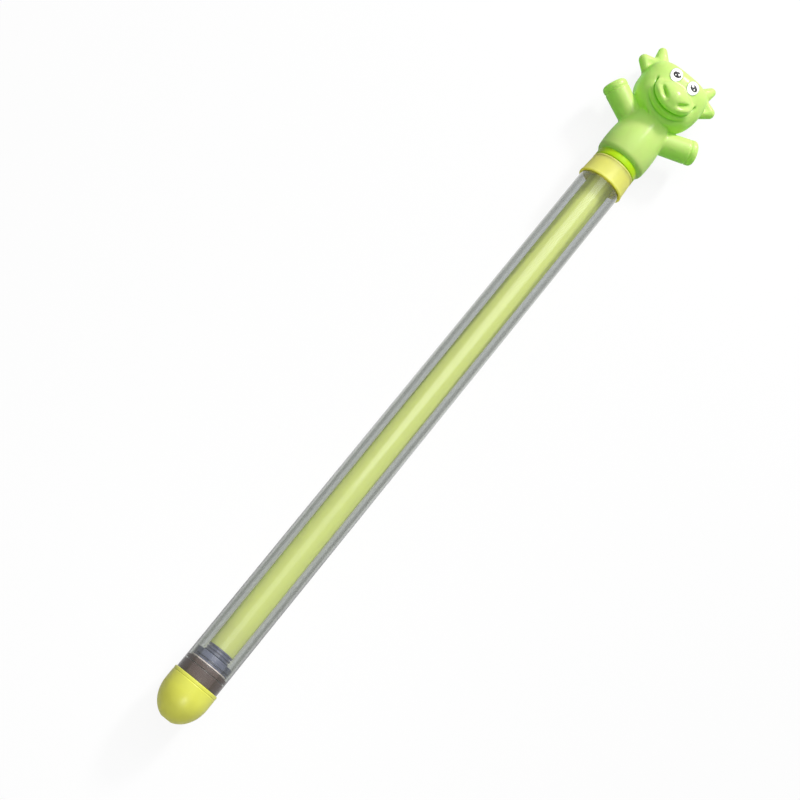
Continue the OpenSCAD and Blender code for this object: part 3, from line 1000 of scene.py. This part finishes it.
def surface_nets(f, low, step):
    """Vertices and quads of the zero surface of a grid of values."""
    inside = f < 0
    cells = np.array(f.shape) - 1
    total = np.zeros((*cells, 3))
    count = np.zeros(cells)
    crossings = []
    for axis in range(3):
        first = [slice(None)] * 3
        second = [slice(None)] * 3
        first[axis] = slice(0, -1)
        second[axis] = slice(1, None)
        f0 = f[tuple(first)]
        f1 = f[tuple(second)]
        inside_first = inside[tuple(first)]
        cross = inside_first != inside[tuple(second)]
        at = np.argwhere(cross)
        place = at.astype(float)
        place[:, axis] += f0[cross] / (f0[cross] - f1[cross])
        around = []
        for back_b, back_c in ((1, 1), (0, 1), (0, 0), (1, 0)):
            cell = at.copy()
            cell[:, (axis + 1) % 3] -= back_b
            cell[:, (axis + 2) % 3] -= back_c
            around.append(cell)
            np.add.at(total, tuple(cell.T), place)
            np.add.at(count, tuple(cell.T), 1)
        crossings.append((around, inside_first[cross]))
    active = count > 0
    index = np.full(cells, -1)
    index[active] = np.arange(active.sum())
    verts = low + step * total[active] / count[active][:, None]
    quads = []
    for around, outward in crossings:
        quad = np.stack([index[tuple(cell.T)] for cell in around], -1)
        quads.append(np.where(outward[:, None], quad, quad[:, ::-1]))
    return verts, np.concatenate(quads)


def settle(p, field):
    """Moves points onto the zero surface along the field's slope."""
    for _ in range(SETTLE_STEPS):
        value = field(p)
        slope = np.stack(
            [(field(p + e) - field(p - e)) / (2 * SLOPE_STEP) for e in np.eye(3) * SLOPE_STEP], -1
        )
        move = -value[:, None] * slope / np.maximum((slope**2).sum(-1), SLOPE_LEAST)[:, None]
        size = np.maximum(np.linalg.norm(move, axis=-1), TINY)
        p = p + move * np.minimum(1, SETTLE_REACH / size)[:, None]
    return p


def to_row(p):
    """The figure's millimetres to the part's frame in metres."""
    return np.stack([p[:, 2] + FOOT_X, p[:, 0], p[:, 1]], -1) * MM


def from_row(p):
    """The part's frame in metres to the figure's millimetres."""
    p = p / MM
    return np.stack([p[:, 1], p[:, 2], p[:, 0] - FOOT_X], -1)


def figure_mesh():
    """Vertices and quads of the whole figure."""
    count = np.ceil((FIGURE_HIGH - FIGURE_LOW) / VOXEL).astype(int) + 1
    xs, ys, zs = (FIGURE_LOW[i] + VOXEL * np.arange(count[i]) for i in range(3))
    yz = np.stack(np.meshgrid(ys, zs, indexing="ij"), -1).reshape(-1, 2)
    values = np.empty(count)
    for i, x in enumerate(xs):
        p = np.column_stack([np.full(len(yz), x), yz])
        values[i] = shell(p).reshape(count[1], count[2])
    verts, quads = surface_nets(values, FIGURE_LOW, VOXEL)
    return settle(verts, shell), quads


def painted_groove_shade_share(p):
    """Share from 0 to 1 of painted shade at points of the skin that lie in a groove of the face."""
    v = lean(p, -LEAN) - HEAD
    n = np.maximum(np.linalg.norm(v, axis=-1), SMALL)
    skin, painted_shade = head_reach(v / n[:, None])
    return painted_shade * (np.abs(n - skin) < PAINTED_SHADE_NEAR)


def half_figure(name, verts, quads, side, replaced):
    """One half of the figure, cut at its seam and closed there. Side is 1 in front and -1 behind."""
    bm = bmesh.new()
    corners = [bm.verts.new(v) for v in to_row(verts)]
    for quad in quads:
        bm.faces.new([corners[i] for i in quad])
    bmesh.ops.bisect_plane(
        bm, geom=[*bm.verts, *bm.edges, *bm.faces], dist=SEAM_SNAP,
        plane_co=(0, 0, SEAM_HALF * MM * side), plane_no=(0, 0, -side), clear_outer=True,
    )
    rim = [e for e in bm.edges if e.is_boundary]
    bmesh.ops.triangle_fill(bm, edges=rim, use_beauty=True, use_dissolve=False)
    bmesh.ops.recalc_face_normals(bm, faces=bm.faces)
    mesh = bpy.data.meshes.new(name)
    bm.to_mesh(mesh)
    bm.free()
    mesh.shade_smooth()
    mesh.set_sharp_from_angle(angle=math.radians(FIGURE_SHARP))
    # Share of painted shade in the face's grooves, kept on the mesh as its groove attribute
    share = painted_groove_shade_share(from_row(np.array([v.co for v in mesh.vertices])))
    mesh.attributes.new("groove", "FLOAT", "POINT").data.foreach_set("value", share.astype(np.float32))
    mesh.materials.append(GREEN)
    add_piece(name, mesh, "plunger", replaced)


figure_verts, figure_quads = figure_mesh()
half_figure("calf_front", figure_verts, figure_quads, 1, "figure_front")
half_figure("calf_back", figure_verts, figure_quads, -1, "figure_back")


# Printed eyes
SKIN_START = 12.0  # first guess of the skin's height in front of the head's centre
SKIN_TRIES = 14
SKIN_CREEP = 0.8  # share of each step that is taken
SKIN_LEAST = 4.0
PRINT_SINK = 0.25  # how far a print reaches under the skin
PRINT_RIM = (0.93, 1.0)  # shares of its size between which a print's edge falls
PRINT_FALL = 0.6
PRINT_MERGE = 1e-6
WHITE_LIFT = 0.10
OUTLINE_OVER = 1.02
OUTLINE_HOLE = 0.93
OUTLINE_RINGS = 3
OUTLINE_LIFT = 0.12
PUPIL = (2.6, 2.1)
PUPIL_UP = 0.15
PUPIL_ASIDE = -0.3
PUPIL_TURN = math.radians(17)
PUPIL_LIFT = 0.16
GLINT_LIFT = 0.20
GLINT_RINGS = 5
GLINT_SEGMENTS = 28
GLINTS = {  # place on the pupil, sideways and up, and half sizes
    "glint_big_": ((-1.0, 0.65), (0.80, 0.92)),
    "glint_small_": ((0.8, -0.75), (0.50, 0.55)),
}


def skin_front(x, z):
    """Height of the face's skin in front of the head's centre at sideways and upward places."""
    y = np.full(len(x), SKIN_START)
    for _ in range(SKIN_TRIES):
        v = np.stack([x, y, z], -1)
        n = np.linalg.norm(v, axis=-1)
        step = n - head_reach(v / n[:, None])[0]
        y = y - step * n / np.maximum(np.abs(y), SKIN_LEAST) * SKIN_CREEP
    return y


def decal(name, centre, half, lift, material, turn=0, hole=0.0, rings=9, segments=56):
    """Thin print, or a ring where it has a hole, that lies on the skin of the face."""
    c = math.cos(turn)
    s = math.sin(turn)
    shares = np.repeat(np.linspace(hole, 1, rings), segments)
    angles = np.tile(np.linspace(0, 2 * math.pi, segments, endpoint=False), rings)
    across = shares * half[0] * np.cos(angles)
    up = shares * half[1] * np.sin(angles)
    x = centre[0] + c * across - s * up
    z = centre[1] + s * across + c * up
    y = skin_front(x, z)
    top = y + lift * (1 - PRINT_FALL * ease(*PRINT_RIM, shares))
    upper = lean(np.stack([x, top, z], -1) + HEAD, LEAN)
    lower = lean(np.stack([x, y - PRINT_SINK, z], -1) + HEAD, LEAN)
    count = rings * segments
    faces = []
    for i in range(rings - 1):
        a = i * segments
        b = a + segments
        for j in range(segments):
            k = (j + 1) % segments
            faces.append((a + j, b + j, b + k, a + k))
            faces.append((count + a + k, count + b + k, count + b + j, count + a + j))
    last = count - segments
    for j in range(segments):
        k = (j + 1) % segments
        faces.append((last + j, count + last + j, count + last + k, last + k))
        if hole:
            faces.append((k, count + k, count + j, j))
    mesh = make_mesh(name, to_row(np.concatenate([upper, lower])), faces, material, PRINT_SHARP)
    turn_outward(mesh, PRINT_MERGE)
    add_piece(name, mesh, "plunger")


for label, side in (("a", 1), ("b", -1)):
    eye = (side * EYE_AT[0], EYE_AT[1])
    pupil = (eye[0] + PUPIL_ASIDE, eye[1] + PUPIL_UP)
    outline = (EYE[0] * OUTLINE_OVER, EYE[1] * OUTLINE_OVER)
    decal("eye_white_" + label, eye, EYE, WHITE_LIFT, WHITE)
    decal("eye_ring_" + label, eye, outline, OUTLINE_LIFT, GREY, hole=OUTLINE_HOLE, rings=OUTLINE_RINGS)
    decal("pupil_" + label, pupil, PUPIL, PUPIL_LIFT, BLACK, turn=-side * PUPIL_TURN)
    for name, (place, half) in GLINTS.items():
        centre = (pupil[0] + side * place[0], pupil[1] + place[1])
        decal(name + label, centre, half, GLINT_LIFT, WHITE, rings=GLINT_RINGS, segments=GLINT_SEGMENTS)

# Stage
FLOOR_HALF = 6.0  # half the floor's width in metres
FLOOR_UNSEEN = 0.22  # the floor's colour as it lights the object
FLOOR_SEEN = 0.90
FLOOR_GLOW = 0.90  # share of the floor's white that no shadow reaches
WORLD_UNSEEN = 0.18
WORLD_SEEN = 1.0
WHOLE = (0, 1)


def seen_share(n):
    """1 for rays that see the stage directly, in gloss or through the clear tube, and 0 for the rest."""
    path = n.add("ShaderNodeLightPath")
    direct = n.largest(path.outputs["Is Camera Ray"], path.outputs["Is Glossy Ray"])
    return n.largest(direct, path.outputs["Is Transmission Ray"])


def make_floor(height):
    corners = [(-1, -1), (1, -1), (1, 1), (-1, 1)]
    places = [(x * FLOOR_HALF, y * FLOOR_HALF, height) for x, y in corners]
    mesh = bpy.data.meshes.new("floor")
    mesh.from_pydata(places, [], [range(len(places))])
    material = bpy.data.materials.new("floor_white")
    material.use_nodes = True
    n = Nodes(material.node_tree)
    n.tree.nodes.remove(n.tree.nodes["Principled BSDF"])
    seen = seen_share(n)
    paint = n.add("ShaderNodeBsdfDiffuse")
    n.link(n.span(seen, FLOOR_UNSEEN, FLOOR_SEEN, WHOLE), paint.inputs["Color"])
    glow = n.add("ShaderNodeEmission")
    set_inputs(glow, Color=WHITE_RGBA, Strength=1.0)
    mix = n.mix_shaders(paint.outputs["BSDF"], glow.outputs["Emission"])
    n.link(n.span(seen, 0, FLOOR_GLOW, WHOLE), mix.inputs["Fac"])
    mesh.materials.append(material)
    add_object("floor", mesh)


def make_world():
    world = bpy.data.worlds.new("studio")
    world.use_nodes = True
    n = Nodes(world.node_tree)
    back = n.tree.nodes["Background"]
    set_inputs(back, Color=WHITE_RGBA)
    n.link(n.span(seen_share(n), WORLD_UNSEEN, WORLD_SEEN, WHOLE), back.inputs["Strength"])
    bpy.context.scene.world = world


def aim_lamp(name, light, direction, distance, target, power):
    """Places a lamp at a distance in a direction from its target, in metres, and turns it there."""
    light.energy = power
    obj = add_object(name, light)
    toward = Vector(direction).normalized()
    obj.location = Vector(target) + toward * distance
    obj.rotation_mode = "QUATERNION"
    obj.rotation_quaternion = toward.to_track_quat("Z", "Y")


def area_lamp(name, width, length, **aim):
    """Oval lamp. Its length runs towards the zenith."""
    light = bpy.data.lights.new(name, "AREA")
    light.shape = "ELLIPSE"
    light.size = width
    light.size_y = length
    aim_lamp(name, light, **aim)


def spot_lamp(name, radius, spread, **aim):
    """Soft lamp with a narrow beam."""
    light = bpy.data.lights.new(name, "SPOT")
    light.spot_size = spread
    light.spot_blend = 1.0
    light.shadow_soft_size = radius
    aim_lamp(name, light, **aim)


make_floor(cad_box[0].z)
make_world()
area_lamp(
    "key", width=0.32, length=0.32,
    direction=(0.848, -0.083, 0.523), distance=1.9, target=(0.35, 0, 0), power=35.0,
)
area_lamp(
    "strip", width=0.08, length=0.68,
    direction=(0.675, -0.141, 0.724), distance=1.6, target=(0.41, 0, 0), power=7.0,
)
spot_lamp(
    "front", radius=0.2, spread=math.radians(28),
    direction=(-0.35, -0.12, 0.93), distance=0.9, target=(0.01, 0, 0), power=16.5,
)
area_lamp(
    "fill", width=1.2, length=1.2,
    direction=(0.42, 0.12, 0.90), distance=1.6, target=(0.25, 0, 0), power=6.0,
)

# Camera, in millimetres and in pixels of the photograph
FOCAL_PX = 1600.0
IMAGE_PX = 800.0
SENSOR_W = 36.0
AIM_X = 213.1  # place on the barrel's axis that the view is measured from
AIM_PX = (419.9, 406.4)  # where that place shows
DISTANCE = 872.0
TILT = math.radians(13.6)
ROLL_SIDE = math.radians(5.5)
AXIS_RIGHT = 0.6309  # the barrel's direction in the picture
AXIS_UP = 0.7759


def make_camera():
    aim = Vector((AIM_X, 0, 0))
    back = Vector((
        -math.sin(TILT),
        math.cos(TILT) * math.sin(ROLL_SIDE),
        math.cos(TILT) * math.cos(ROLL_SIDE),
    ))
    place = aim + DISTANCE * back
    along = (Vector((1, 0, 0)) - back * back.x).normalized()
    across = along.cross(back)
    right = AXIS_RIGHT * along + AXIS_UP * across
    up = AXIS_UP * along - AXIS_RIGHT * across
    half = IMAGE_PX / 2
    offset = (AIM_PX[1] - half) * up - (AIM_PX[0] - half) * right
    centre = aim + offset * (DISTANCE / FOCAL_PX)
    z = (place - centre).normalized()
    x = (right - z * right.dot(z)).normalized()
    turn = Matrix((x, z.cross(x), z)).transposed().to_4x4()
    turn.translation = place * MM
    data = bpy.data.cameras.new("camera")
    data.sensor_width = SENSOR_W
    data.lens = FOCAL_PX / IMAGE_PX * SENSOR_W
    camera = add_object("camera", data)
    camera.matrix_world = turn
    bpy.context.scene.camera = camera


make_camera()
bpy.context.scene.view_settings.view_transform = "Standard"
